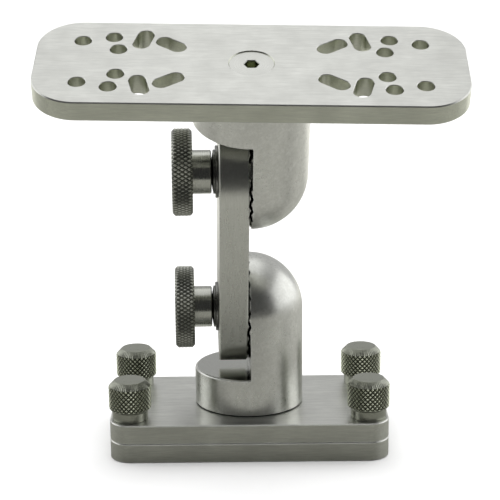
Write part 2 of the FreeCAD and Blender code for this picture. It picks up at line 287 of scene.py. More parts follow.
def apply_modifiers(obj):
    graph = bpy.context.evaluated_depsgraph_get()
    graph.update()
    mesh = bpy.data.meshes.new_from_object(obj.evaluated_get(graph))
    obj.modifiers.clear()
    obj.data = mesh


def joined(objects):
    """One object from several, keeping their places."""
    bm = bmesh.new()
    for obj in objects:
        mesh = obj.data.copy()
        mesh.transform(obj.matrix_world)
        bm.from_mesh(mesh)
        bpy.data.objects.remove(obj)
    return object_from("cutter", bm)


def finish_surface(obj):
    """Smooth shading that stays flat on flat faces."""
    obj.data.shade_smooth()
    obj.data.set_sharp_from_angle(angle=CREASE)
    weight = obj.modifiers.new("weight", "WEIGHTED_NORMAL")
    weight.mode = "FACE_AREA"
    weight.keep_sharp = True
    apply_modifiers(obj)
    return obj


def weld(obj, distance):
    """Merges points closer than a distance, which clears the slivers that cuts leave."""
    bm = bmesh.new()
    bm.from_mesh(obj.data)
    bmesh.ops.remove_doubles(bm, verts=bm.verts, dist=distance)
    bm.to_mesh(obj.data)
    bm.free()


def exact_normals(obj, radius):
    """True normals on the walls of a round post and on its dome, whose faces the cuts left uneven."""
    mesh = obj.data
    normals = [corner.vector.copy() for corner in mesh.corner_normals]
    for polygon in mesh.polygons:
        if not on_skin(polygon.center, radius):
            continue
        on_dome = polygon.center.z >= 0
        for corner in polygon.loop_indices:
            point = mesh.vertices[mesh.loops[corner].vertex_index].co
            normals[corner] = Vector((point.x, point.y, point.z if on_dome else 0)).normalized()
    mesh.normals_split_custom_set(normals)


def on_skin(point, radius):
    """True on the wall of a round post below z = 0 and on the dome above it."""
    reach = point.length if point.z >= 0 else math.hypot(point.x, point.y)
    return reach > radius - SKIN_BAND


# ======== outlines ========

def rounded_rectangle(width, depth, corner, grow=0.0, steps=24):
    """Outline of a rectangle with round corners, moved outwards by grow."""
    points = []
    r = corner + grow
    for quarter in range(4):
        cx = (width / 2 - corner) * (1 if quarter in (0, 3) else -1)
        cy = (depth / 2 - corner) * (1 if quarter in (0, 1) else -1)
        for step in range(steps + 1):
            angle = math.pi / 2 * (quarter + step / steps)
            points.append((cx + r * math.cos(angle), cy + r * math.sin(angle)))
    return points


def slot_outline(x, y, degrees, travel, radius, steps=24):
    """Outline of a slot with round ends."""
    points = []
    turn = math.radians(degrees)
    for side in (1, -1):
        cx = x + side * travel / 2 * math.cos(turn)
        cy = y + side * travel / 2 * math.sin(turn)
        for step in range(steps + 1):
            angle = turn + math.pi * (step / steps - 0.5) + (0 if side > 0 else math.pi)
            points.append((cx + radius * math.cos(angle), cy + radius * math.sin(angle)))
    return points


def quadrants(x, y):
    return [(sx * x, sy * y) for sx in (-1, 1) for sy in (-1, 1)]


def hole_cutter(outline, low, high, edge=HOLE_EDGE):
    """A through cutter that also breaks the hole's two rims; outline(grow) gives its outline."""
    past = edge
    levels = [(low - past, outline(edge + past)), (low + edge, outline(0)),
              (high - edge, outline(0)), (high + past, outline(edge + past))]
    return prism("cutter", levels)


def round_cutter(x, y, radius, low, high):
    return hole_cutter(lambda grow: slot_outline(x, y, 0, 0, radius + grow), low, high)


# ======== pieces ========

def show(obj, body, slot_name, materials, *stands_for):
    """Puts a finished piece on its body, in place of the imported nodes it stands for."""
    for material in materials:
        obj.data.materials.append(material)
    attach(obj, body)
    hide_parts(*stands_for)
    return obj


def rim_profile(low, high, edge, soften=0.12 * MM):
    """(height, grow) steps up the side of a slab whose rims are chamfered and slightly rounded."""
    inset = edge + 2 * soften
    corners = [(-inset, low), (-edge, low), (0, low + edge), (0, high - edge), (-edge, high), (-inset, high)]
    return [(height, grow) for grow, height in fillet(corners, soften, steps=2)]


def slab(name, outline, low, high, edge, matrix=WORLD):
    levels = [(height, outline(grow)) for height, grow in rim_profile(low, high, edge)]
    return prism(name, levels, matrix)


def base_outline(grow):
    return rounded_rectangle(BASE_W, BASE_D, BASE_CORNER_R, grow)


def top_outline(grow):
    return rounded_rectangle(TOP_W, TOP_D, TOP_CORNER_R, grow)


def countersink(radius, bore, low, high, half_angle, from_top=True):
    """A cutter for a flat head: a cone that opens at one face of a plate, and its bore."""
    past = 1 * MM
    cone = (radius - bore) / math.tan(half_angle)
    if from_top:
        profile = [(0, low - past), (bore, low - past), (bore, high - cone), (radius, high),
                   (radius + past * math.tan(half_angle), high + past), (0, high + past)]
    else:
        profile = [(0, low - past), (radius + past * math.tan(half_angle), low - past), (radius, low),
                   (bore, low + cone), (bore, high + past), (0, high + past)]
    return lathe("cutter", profile, steps=SMALL_ROUND)


def moved(obj, x, y):
    obj.data.transform(Matrix.Translation((x, y, 0)))
    return obj


def deck_plate(material, edge_material):
    plate = slab("deck_plate_fine", base_outline, 0, PLATE_T, PLATE_EDGE)
    cutters = [moved(countersink(DECK_HEAD_R, DECK_HOLE_R, 0, PLATE_T, math.radians(45)), x, y)
               for x, y in quadrants(*DECK_HOLE)]
    cutters += [round_cutter(x, y, DECK_INSERT_R, 0, PLATE_T) for x, y in quadrants(*THUMB)]
    combine(plate, joined(cutters))
    paint_walls(plate, 0, PLATE_T)
    finish_surface(plate)
    return show(plate, "base", "plate_aluminium", [material, edge_material], "deck_plate")


def base_plate(material, edge_material):
    plate = slab("base_plate_fine", base_outline, PLATE_T, 2 * PLATE_T, PLATE_EDGE)
    cutters = [round_cutter(x, y, THUMB_CLEAR_R, PLATE_T, 2 * PLATE_T) for x, y in quadrants(*THUMB)]
    cutters.append(countersink(SCREW_HEAD_R + RUN_CLEAR, STUD_R + RUN_CLEAR, PLATE_T, 2 * PLATE_T,
                               SCREW_HALF_ANGLE, from_top=False))
    combine(plate, joined(cutters))
    paint_walls(plate, PLATE_T, 2 * PLATE_T)
    finish_surface(plate)
    return show(plate, "base", "plate_aluminium", [material, edge_material], "base_plate")


def top_plate(material, edge_material):
    """Built in the knuckle frame, where the plate lies below the pivot."""
    plate = slab("top_plate_fine", top_outline, -PLATE_FAR, -PLATE_NEAR, PLATE_EDGE, TOP)
    cutters = [round_cutter(x, y, FIXING_R, -PLATE_FAR, -PLATE_NEAR)
               for hole in ROUND_HOLES for x, y in quadrants(*hole)]
    for slot_x, slot_y, degrees in SLOTS:
        for x, y in quadrants(slot_x, slot_y):
            cutters.append(slot_cutter(x, y, -degrees if x * y < 0 else degrees))
    cutters.append(countersink(SCREW_HEAD_R + RUN_CLEAR, STUD_R + RUN_CLEAR, -PLATE_FAR, -PLATE_NEAR,
                               SCREW_HALF_ANGLE, from_top=False))
    combine(plate, joined(cutters))
    paint_walls(plate, -PLATE_FAR, -PLATE_NEAR)
    finish_surface(plate)
    return show(plate, "top", "plate_aluminium", [material, edge_material], "top_plate")


def slot_cutter(x, y, degrees):
    def outline(grow):
        return slot_outline(x, y, degrees, SLOT_TRAVEL, FIXING_R + grow)
    return hole_cutter(outline, -PLATE_FAR, -PLATE_NEAR)


def box(low, high):
    """A plain box, for cutting only."""
    corners = [(low[0], low[1]), (high[0], low[1]), (high[0], high[1]), (low[0], high[1])]
    return prism("cutter", [(low[2], corners), (high[2], corners)])


def tooth_star(face, phase, side):
    """A cutter on one side of a star of radial teeth about X whose mean plane is x = face."""
    bm = bmesh.new()
    height = TOOTH_DEPTH / 2 * TOOTH_CUT_R / KNUCKLE_R
    far = face + side * 6 * MM
    middle = bm.verts.new((face, 0, 0))
    near_rim = []
    far_rim = []
    for step in range(2 * TEETH):
        angle = math.radians(phase) + step * math.pi / TEETH
        y = TOOTH_CUT_R * math.cos(angle)
        z = TOOTH_CUT_R * math.sin(angle)
        crest = -side if step % 2 else side
        near_rim.append(bm.verts.new((face + crest * height, y, z)))
        far_rim.append(bm.verts.new((far, y, z)))
    for step in range(2 * TEETH):
        after = (step + 1) % (2 * TEETH)
        bm.faces.new((middle, near_rim[step], near_rim[after]))
        bm.faces.new((near_rim[step], far_rim[step], far_rim[after], near_rim[after]))
    bm.faces.new(far_rim)
    return object_from("cutter", bm)


def rod_x(radius, start, end, z=0.0, steps=ROUND):
    rod = lathe("cutter", [(0, start), (radius, start), (radius, end), (0, end)], steps=steps)
    rod.data.transform(Matrix.Translation((0, 0, z)) @ ALONG_X)
    return rod


def flare(edge):
    """Everything to the right of the knuckle's flat face, opening outwards at 45 degrees."""
    def outline(grow):
        r = KNUCKLE_R + grow
        turn = [math.pi * step / 96 for step in range(97)]
        round_end = [(r * math.cos(a), r * math.sin(a)) for a in turn]
        return [(r, -80 * MM)] + round_end + [(-r, -80 * MM)]
    shape = prism("cutter", [(0, outline(-edge)), (CUT_REACH, outline(CUT_REACH - edge))])
    shape.data.transform(FACING_X)
    return shape


def knuckle(prefix, matrix, blasted, milled):
    """A round post with a domed end, cut away beside the arm down to a flange, with teeth."""
    low = -PIVOT_TO_FACE
    floor = -PIVOT_TO_FLOOR
    bore_end = low + SCREW_GRIP + 1 * MM
    profile = [(0, bore_end), (STUD_R, bore_end), (STUD_R, low), (KNUCKLE_R - FACE_EDGE, low),
               (KNUCKLE_R, low + FACE_EDGE), (KNUCKLE_R, 0)]
    profile = fillet(profile, 0.1 * MM, steps=2)
    dome = [math.pi / 2 * step / 48 for step in range(1, 48)]
    profile += [(KNUCKLE_R * math.cos(a), KNUCKLE_R * math.sin(a)) for a in dome] + [(0, KNUCKLE_R)]
    body = lathe(prefix + "knuckle_fine", profile, matrix)
    beside_arm = box((-CUT_REACH, -CUT_REACH, floor), (50 * MM, CUT_REACH, CUT_REACH))
    combine(body, combine(beside_arm, flare(0.15 * MM)))
    inset = 0.3 * MM
    edge = FLANGE_EDGE
    rim = [(KNUCKLE_R - edge - inset - 1 * MM, floor + 1 * MM), (KNUCKLE_R - edge - inset, floor),
           (KNUCKLE_R - edge + 0.1 * MM, floor - 0.1 * MM), (KNUCKLE_R - 0.1 * MM, floor - edge + 0.1 * MM),
           (KNUCKLE_R, floor - edge - inset), (KNUCKLE_R + 1 * MM, floor - edge - inset - 1 * MM),
           (KNUCKLE_R + 1 * MM, floor + 1 * MM)]
    rim_cutter = ring("cutter", rim)
    flange_side = box((-CUT_REACH, -CUT_REACH, -CUT_REACH), (-0.02 * MM, CUT_REACH, CUT_REACH))
    combine(rim_cutter, flange_side, "INTERSECT")
    combine(body, rim_cutter)
    combine(body, rod_x(TOOTH_RING_R, -TOOTH_DEPTH, TOOTH_DEPTH / 2), "UNION")
    combine(body, tooth_star(0, 0, -1))
    hub = [(0, -6 * MM), (HUB_RECESS_R, -6 * MM), (HUB_RECESS_R, HUB_RECESS), (SPRING_POCKET_R, HUB_RECESS),
           (SPRING_POCKET_R, 5 * MM), (5.6 * MM, 5 * MM), (5.6 * MM, 17 * MM), (STUD_R, 17 * MM),
           (STUD_R, 19.5 * MM), (0, 19.5 * MM)]
    hub_cutter = lathe("cutter", hub, steps=SMALL_ROUND)
    hub_cutter.data.transform(ALONG_X)
    combine(body, hub_cutter)
    weld(body, SLIVER)
    paint_faces(body, 1, lambda c: c.x < 0.4 * MM and floor - 0.01 * MM < c.z and not on_skin(c, KNUCKLE_R))
    finish_surface(body)
    exact_normals(body, KNUCKLE_R)
    return show(body, prefix + "head", "knuckle_aluminium", [blasted, milled], prefix + "knuckle")


def link_arm(material, end_material):
    """The arm with round ends and a toothed disc at each pivot, upright above the lower pivot."""
    def outline(grow):
        return slot_outline(0, ARM_LENGTH / 2, 90, ARM_LENGTH, KNUCKLE_R + grow, steps=96)
    arm = slab("link_arm_fine", outline, ARM_BACK, ARM_FACE, 0.5 * MM)
    arm.data.transform(FACING_X)
    lean = math.degrees((UPPER_PIVOT - LOWER_PIVOT).angle(Vector((0, 0, 1))))
    plate_lean = math.degrees(PLATE_NORMAL.angle(Vector((0, 0, 1))))
    for height, mate_angle in ((0, lean), (ARM_LENGTH, lean - plate_lean)):
        combine(arm, rod_x(TOOTH_RING_R, ARM_FACE - 0.5 * MM, ARM_FACE + TOOTH_DEPTH, height), "UNION")
        star = tooth_star(ARM_FACE, 180 / TEETH - mate_angle, 1)
        star.data.transform(Matrix.Translation((0, 0, height)))
        combine(arm, star)
        hub = [(0, ARM_BACK - 1 * MM), (BUSH_R, ARM_BACK - 1 * MM), (BUSH_R, ARM_FACE - SPRING_SEAT),
               (SPRING_POCKET_R, ARM_FACE - SPRING_SEAT), (SPRING_POCKET_R, ARM_FACE - HUB_RECESS),
               (HUB_RECESS_R, ARM_FACE - HUB_RECESS), (HUB_RECESS_R, 6 * MM), (0, 6 * MM)]
        hub_cutter = lathe("cutter", hub, steps=SMALL_ROUND)
        hub_cutter.data.transform(Matrix.Translation((0, 0, height)) @ ALONG_X)
        combine(arm, hub_cutter)
    paint_faces(arm, 1, lambda c: c.x < ARM_FACE - 0.1 * MM and not 0 < c.z < ARM_LENGTH)
    finish_surface(arm)
    arm.matrix_world = ARM
    return show(arm, "arm", "arm_aluminium", [material, end_material], "link_arm")


def knurl(radius, low, high, around, pitch, depth):
    """A groove function for diamond knurling between two heights.

    Two families of V grooves run round in opposite spirals; the knurled band is kept within
    the turned profile, so chamfered ends cut the diamonds off."""
    def groove(angle, height, r):
        if not low <= height <= high:
            return r, 1.0
        turn = angle * around / (2 * math.pi)
        rise = (height - low) / pitch
        deepest = 0.0
        for spiral in (turn + rise, turn - rise):
            off_centre = abs(spiral - round(spiral))
            deepest = max(deepest, 1 - off_centre / GROOVE_HALF_WIDTH)
        return min(r, radius - depth * max(0.0, deepest)), 1.0 - max(0.0, deepest)
    return groove


def knurl_rows(profile, low, high, step):
    """Adds points to a profile so that no stretch between two heights is longer than step."""
    out = [profile[0]]
    for before, after in zip(profile, profile[1:]):
        inside = low - 1e-9 <= before[1] <= high + 1e-9 and low - 1e-9 <= after[1] <= high + 1e-9
        length = math.dist(before, after)
        count = max(1, math.ceil(length / step)) if inside else 1
        for i in range(1, count + 1):
            t = i / count
            out.append((before[0] + (after[0] - before[0]) * t, before[1] + (after[1] - before[1]) * t))
    return out


def paint_faces(obj, index, wanted):
    """Gives a material index to the faces whose centre passes a test."""
    for polygon in obj.data.polygons:
        if wanted(polygon.center):
            polygon.material_index = index


def paint_walls(plate, low, high):
    """Gives material 1 to a plate's sides and to the walls of its holes."""
    paint_faces(plate, 1, lambda c: low + PLATE_EDGE < c.z < high - PLATE_EDGE)


def tilt_knob(prefix, matrix, knurled, turned):
    """The knurled knob and its turned neck, made about Z and laid along X, open end first."""
    low = 0.0
    high = KNOB_T
    neck_end = high + NECK_L
    profile = [(0, 0.25 * MM), (3.0 * MM, 0.25 * MM), (3.4 * MM, 0), (KNOB_R - KNOB_EDGE, low),
               (KNOB_R, low + KNOB_EDGE), (KNOB_R, high - KNOB_EDGE), (KNOB_R - KNOB_EDGE, high),
               (NECK_R, high), (NECK_R, neck_end - PLATE_EDGE), (NECK_R - PLATE_EDGE, neck_end),
               (STUD_R, neck_end), (STUD_R, neck_end - 6 * MM), (0, neck_end - 6 * MM)]
    profile = fillet(profile, 0.2 * MM, steps=3)
    profile = knurl_rows(profile, low + 0.05 * MM, high - 0.05 * MM, KNOB_KNURL_PITCH / 14)
    cut = knurl(KNOB_R, low, high, KNOB_KNURLS, KNOB_KNURL_PITCH, KNOB_KNURL_DEPTH)
    knob = lathe(prefix + "tilt_knob_fine", profile, matrix @ Matrix.Translation((KNOB_FACE, 0, 0)) @ ALONG_X,
                 steps=KNOB_KNURLS * 12, groove=cut)
    paint_faces(knob, 1, lambda c: math.hypot(c.x, c.y) < KNOB_R - KNOB_EDGE - 0.1 * MM)
    finish_surface(knob)
    return show(knob, prefix + "knob", "knob_steel", [knurled, turned], prefix + "tilt_knob")


def flat_washer(prefix, matrix, material):
    inner = STUD_R + RUN_CLEAR
    profile = [(inner + 0.1 * MM, 0), (FLAT_WASHER_R - 0.25 * MM, 0), (FLAT_WASHER_R, 0.2 * MM),
               (FLAT_WASHER_R, FLAT_WASHER_T - 0.2 * MM), (FLAT_WASHER_R - 0.25 * MM, FLAT_WASHER_T),
               (inner + 0.1 * MM, FLAT_WASHER_T), (inner, FLAT_WASHER_T - 0.1 * MM), (inner, 0.1 * MM)]
    washer = ring(prefix + "flat_washer_fine", profile,
                  matrix @ Matrix.Translation((WASHER_LEFT, 0, 0)) @ ALONG_X)
    finish_surface(washer)
    return show(washer, prefix + "clamp", "fastener_steel", [material], prefix + "flat_washer")


def cone_washer(prefix, matrix, material):
    inner = STUD_R + 2 * RUN_CLEAR
    t = CONE_WASHER_T
    h = CONE_WASHER_H
    profile = [(inner, 0.1 * MM), (inner + 0.1 * MM, 0), (CONE_WASHER_R - 0.12 * MM, h - t - 0.02 * MM),
               (CONE_WASHER_R, h - t + 0.1 * MM), (CONE_WASHER_R, h - 0.1 * MM),
               (CONE_WASHER_R - 0.12 * MM, h - 0.02 * MM), (inner + 0.1 * MM, t), (inner, t - 0.1 * MM)]
    washer = ring(prefix + "cone_washer_fine", profile,
                  matrix @ Matrix.Translation((NECK_END, 0, 0)) @ ALONG_X)
    finish_surface(washer)
    return show(washer, prefix + "clamp", "spring_steel", [material], prefix + "cone_washer")


def pan_washer(prefix, body, matrix, material):
    inner = STUD_R + RUN_CLEAR
    low = -PIVOT_TO_FACE - PAN_WASHER_T
    high = -PIVOT_TO_FACE
    profile = [(inner, low), (PAN_WASHER_R - 0.1 * MM, low), (PAN_WASHER_R, low + 0.1 * MM),
               (PAN_WASHER_R, high - 0.1 * MM), (PAN_WASHER_R - 0.1 * MM, high), (inner, high)]
    washer = ring(prefix + "pan_washer_fine", profile, matrix)
    finish_surface(washer)
    return show(washer, body, "friction_plastic", [material], prefix + "pan_washer")


def pan_screw(prefix, matrix, material, socket_shaded_material):
    """A flat head socket screw through the plate into the knuckle."""
    top = -PLATE_FAR + SCREW_SINK
    rim = top + SCREW_RIM
    neck = rim + (SCREW_HEAD_R - STUD_R) / math.tan(SCREW_HALF_ANGLE)
    end = -PIVOT_TO_FACE + SCREW_GRIP
    head = SCREW_HEAD_R - SCREW_GAP
    profile = [(0, top), (head - 0.15 * MM, top), (head, top + 0.15 * MM), (head, rim), (STUD_R, neck),
               (STUD_R, end - 0.8 * MM), (STUD_R - 0.8 * MM, end), (0, end)]
    screw = lathe(prefix + "pan_screw_fine", fillet(profile, 0.06 * MM, steps=2), matrix)
    corner = SOCKET_FLATS / math.sqrt(3)

    def hexagon(grow):
        size = corner + grow
        return [(size * math.cos(math.pi / 3 * i), size * math.sin(math.pi / 3 * i)) for i in range(6)]
    socket = [(top - 0.5 * MM, hexagon(1.0 * MM)), (top + 0.25 * MM, hexagon(0)),
              (top + SOCKET_DEPTH, hexagon(0)), (top + SOCKET_DEPTH + 1.2 * MM, hexagon(-corner * 0.98))]
    combine(screw, prism("cutter", socket))
    # Faces inside the hex socket take the darker socket steel: partly painted shade in the recess, partly an
    # oxidised tone.
    paint_faces(screw, 1, lambda c: c.z > top + 0.3 * MM and math.hypot(c.x, c.y) < corner and c.z < neck)
    finish_surface(screw)
    return show(screw, prefix + "head", "fastener_steel", [material, socket_shaded_material], prefix + "pan_screw")


def thumb_screw(corner_name, x, y, knurled, turned):
    """A knurled thumb screw standing on the base plate."""
    tip = 1.5 * MM - 2 * PLATE_T
    profile = [(0, tip), (THUMB_SHANK_R - 0.8 * MM, tip), (THUMB_SHANK_R, tip + 0.8 * MM), (THUMB_SHANK_R, 0),
               (THUMB_COLLAR_R, 0), (THUMB_COLLAR_R, THUMB_COLLAR_TOP), (THUMB_HEAD_R, THUMB_GRIP_LOW),
               (THUMB_HEAD_R, THUMB_GRIP_HIGH), (THUMB_FACE_R, THUMB_TOP), (0, THUMB_TOP)]
    profile = fillet(profile, 0.35 * MM, steps=4)
    low = THUMB_COLLAR_TOP
    high = THUMB_GRIP_HIGH + 0.6 * MM
    profile = knurl_rows(profile, low, high, THUMB_KNURL_PITCH / 12)
    cut = knurl(THUMB_HEAD_R, low, high, THUMB_KNURLS, THUMB_KNURL_PITCH, THUMB_KNURL_DEPTH)
    place = Matrix.Translation((x, y, 2 * PLATE_T))
    name = "thumb_screw_" + corner_name
    screw = lathe(name + "_fine", profile, place, steps=THUMB_KNURLS * 16, groove=cut)
    paint_faces(screw, 1, lambda c: not THUMB_GRIP_LOW - 0.2 * MM < c.z < THUMB_GRIP_HIGH + 0.1 * MM)
    finish_surface(screw)
    return show(screw, name, "thumb_screw_steel", [knurled, turned], name)


# ======== materials ========

class Shader:
    """A material with a Principled surface, and short ways to add nodes to it."""

    def __init__(self, name):
        self.material = bpy.data.materials.new(name)
        self.material.use_nodes = True
        self.tree = self.material.node_tree
        self.surface = self.tree.nodes["Principled BSDF"]
        self.place = self.add("ShaderNodeTexCoord").outputs["Object"]

    def add(self, kind, inputs=(), **settings):
        node = self.tree.nodes.new(kind)
        for key, value in settings.items():
            setattr(node, key, value)
        for key, value in dict(inputs).items():
            self.feed(node.inputs[key], value)
        return node

    def feed(self, socket, value):
        if isinstance(value, bpy.types.NodeSocket):
            self.tree.links.new(value, socket)
        else:
            socket.default_value = value

    def set(self, **values):
        """Values or links for the surface's sockets, with _ for a space in the socket's name."""
        for key, value in values.items():
            self.feed(self.surface.inputs[key.replace("_", " ")], value)

    def noise(self, scale, detail=3.0, roughness=0.6, stretch=(1, 1, 1)):
        """Noise of about scale features per metre, with stretch dividing it along each axis."""
        mapping = self.add("ShaderNodeMapping", {"Vector": self.place, "Scale": stretch})
        node = self.add("ShaderNodeTexNoise", {
            "Vector": mapping.outputs["Vector"], "Scale": scale, "Detail": detail, "Roughness": roughness})
        return node.outputs["Fac"]

    def turned_rings(self, scale):
        """Noise of about scale rings per metre round the object's own Z axis, on its walls and its ends."""
        across = self.add("ShaderNodeVectorMath", {0: self.place, 1: (1, 1, 0)}, operation="MULTIPLY")
        radius = self.add("ShaderNodeVectorMath", {0: across.outputs["Vector"]}, operation="LENGTH")
        height = self.add("ShaderNodeSeparateXYZ", {"Vector": self.place}).outputs["Z"]
        place = self.add("ShaderNodeCombineXYZ", {"X": radius.outputs["Value"], "Z": height})
        node = self.add("ShaderNodeTexNoise", {
            "Vector": place.outputs["Vector"], "Scale": scale, "Detail": 3.0, "Roughness": 0.6})
        return node.outputs["Fac"]

    def span(self, value, low, high, start=0.3, end=0.7):
        """Maps a 0 to 1 value onto low to high."""
        node = self.add("ShaderNodeMapRange", {
            "Value": value, "From Min": start, "From Max": end, "To Min": low, "To Max": high})
        return node.outputs["Result"]

    def math(self, operation, a, b=0.0):
        return self.add("ShaderNodeMath", {0: a, 1: b}, operation=operation).outputs[0]

    def mix(self, factor, a, b):
        node = self.add("ShaderNodeMix", data_type="RGBA")
        self.feed(node.inputs["Factor"], factor)
        self.feed(node.inputs["A"], a)
        self.feed(node.inputs["B"], b)
        return node.outputs["Result"]

    def ramp(self, stops):
        """Colours blended along the object's own Y, from (y, colour) stops in rising order."""
        along = self.add("ShaderNodeSeparateXYZ", {"Vector": self.place}).outputs["Y"]
        first = stops[0][0]
        length = stops[-1][0] - first
        node = self.add("ShaderNodeValToRGB", {"Fac": self.span(along, 0, 1, first, first + length)})
        elements = node.color_ramp.elements
        elements.remove(elements[1])
        elements[0].position = 0
        elements[0].color = stops[0][1]
        for y, colour in stops[1:]:
            elements.new((y - first) / length).color = colour
        return node.outputs["Color"]

    def bump(self, height, distance, strength=1.0, after=None):
        inputs = {"Height": height, "Distance": distance, "Strength": strength}
        if after:
            inputs["Normal"] = after
        return self.add("ShaderNodeBump", inputs).outputs["Normal"]

    def edges(self, radius):
        """0 on flat ground, rising to 1 along edges."""
        soft = self.add("ShaderNodeBevel", {"Radius": radius}, samples=4).outputs["Normal"]
        hard = self.add("ShaderNodeNewGeometry").outputs["Normal"]
        same = self.add("ShaderNodeVectorMath", {0: soft, 1: hard}, operation="DOT_PRODUCT").outputs["Value"]
        return self.span(same, 1.0, 0.0, 0.9, 0.999)

    def tangent(self, axis):
        """The world direction of an axis of the object, for anisotropic brushing along it."""
        node = self.add("ShaderNodeVectorTransform", {"Vector": axis}, vector_type="VECTOR",
                        convert_from="OBJECT", convert_to="WORLD")
        return node.outputs["Vector"]

    def turned_tangent(self):
        """The direction round the object's own Z axis, for turned metal."""
        around = self.add("ShaderNodeVectorMath", {0: self.place, 1: (0, 0, 1)}, operation="CROSS_PRODUCT")
        node = self.add("ShaderNodeVectorTransform", {"Vector": around.outputs["Vector"]},
                        vector_type="VECTOR", convert_from="OBJECT", convert_to="WORLD")
        return node.outputs["Vector"]


def tone(grey, warm=0.0):
    """A near-grey metal colour; warm lowers its blue, and its red a little."""
    return (grey * (1 - 0.2 * warm), grey, grey * (1 - warm), 1)


def brushed_aluminium(name, worn_and_highlit_metal, grey=0.77, warm=0.05):
    """Plate stock brushed along its length: short fine lines over a faint cloudiness.

    Edges are paler, partly from wear and partly as a painted highlight, and as metallic as the edge metallic level
    passed in."""
    s = Shader(name)
    fine = s.noise(130, 4, 0.65, stretch=(1, 16, 16))
    broad = s.noise(60, 3, 0.6, stretch=(1, 7, 7))
    cloud = s.noise(90, 3, 0.6)
    lines = s.math("ADD", s.math("MULTIPLY", fine, 0.6), s.math("MULTIPLY", broad, 0.4))
    streaks = s.mix(s.span(lines, 0, 1), tone(grey * 0.80, warm), tone(grey * 1.22, warm))
    colour = s.mix(s.span(cloud, 0, 0.5), streaks, tone(grey * 0.88, warm))
    # Edge mask: rims turn paler, partly as wear and partly as a painted highlight along the edges.
    edge_wear_and_highlight = s.edges(0.35 * MM)
    s.set(Metallic=s.span(edge_wear_and_highlight, 1.0, worn_and_highlit_metal, 0, 1),
          Base_Color=s.mix(s.math("MULTIPLY", edge_wear_and_highlight, 0.6), colour, tone(0.95, 0.02)),
          Roughness=s.math("ADD", s.span(lines, 0.30, 0.42), s.span(cloud, -0.03, 0.03)),
          Anisotropic=0.6, Anisotropic_Rotation=0.25, Tangent=s.tangent((1, 0, 0)),
          Normal=s.bump(lines, 0.02 * MM, 0.35))
    return s.material


def blasted_aluminium():
    """Turned bar with a fine blasted skin: small mottling over faint turning rings."""
    s = Shader("blasted_aluminium")
    grain = s.noise(2600, 2, 0.6)
    mottle = s.noise(900, 3, 0.7)
    cloud = s.noise(60, 3, 0.5)
    rings = s.noise(700, 2, 0.5, stretch=(0.02, 0.02, 1))
    blotch = s.noise(420, 1, 0.5)
    skin = s.math("ADD", s.math("MULTIPLY", mottle, 0.65), s.math("MULTIPLY", grain, 0.35))
    speckle = s.mix(s.span(skin, 0, 1, 0.35, 0.65), tone(0.68, 0.06), tone(0.88, 0.04))
    colour = s.mix(s.span(blotch, 0, 0.6), speckle, tone(0.66, 0.06))
    # Edge mask: paler, less metallic rims, partly wear and partly a painted highlight along the edges.
    edge_wear_and_highlight = s.edges(0.4 * MM)
    s.set(Metallic=s.span(edge_wear_and_highlight, 1.0, 0.4, 0, 1),
          Base_Color=s.mix(s.math("MULTIPLY", edge_wear_and_highlight, 0.6), colour, tone(0.95, 0.02)),
          Roughness=s.math("ADD", s.span(skin, 0.26, 0.38), s.span(cloud, -0.03, 0.03)),
          Normal=s.bump(rings, 0.01 * MM, 0.2, after=s.bump(skin, 0.02 * MM, 0.5)))
    return s.material


def milled_aluminium(name, grey, rough, relief):
    """Bar stock with milled faces: fine cross lines under a soft satin."""
    s = Shader(name)
    lines = s.noise(120, 3, 0.6, stretch=(14, 14, 1))
    grain = s.noise(2200, 2, 0.6)
    skin = s.math("ADD", s.math("MULTIPLY", lines, 0.6), s.math("MULTIPLY", grain, 0.4))
    colour = s.mix(s.span(skin, 0, 1), tone(grey * 0.9, 0.08), tone(grey * 1.08, 0.06))
    # Edge mask: paler rims, partly wear and partly a painted highlight along the edges.
    edge_wear_and_highlight = s.edges(0.35 * MM)
    s.set(Metallic=1.0, Base_Color=s.mix(s.math("MULTIPLY", edge_wear_and_highlight, 0.6), colour, tone(0.95, 0.02)),
          Roughness=s.span(skin, *rough), Normal=s.bump(skin, 0.015 * MM, relief))
    return s.material


def turned_steel(name, grey, warm, rough):
    """Lathe-turned steel: fine rings round the piece and a bright, slightly cloudy finish."""
    s = Shader(name)
    rings = s.turned_rings(3200)
    cloud = s.noise(160, 3, 0.55)
    colour = s.mix(s.span(rings, 0, 1), tone(grey * 0.9, warm), tone(grey * 1.08, warm))
    # Edge mask and edge colour: paler rims, partly wear and partly a painted highlight along the edges.
    edge_wear_and_highlight = s.edges(0.25 * MM)
    rubbed_and_highlit = tone(min(grey * 1.4, 0.95), warm)
    s.set(Metallic=1.0, Base_Color=s.mix(s.math("MULTIPLY", edge_wear_and_highlight, 0.5), colour, rubbed_and_highlit),
          Roughness=s.math("ADD", s.span(rings, *rough), s.span(cloud, -0.03, 0.03)),
          Anisotropic=0.5, Anisotropic_Rotation=0.25, Tangent=s.turned_tangent(),
          Normal=s.bump(rings, 0.01 * MM, 0.35))
    return s.material


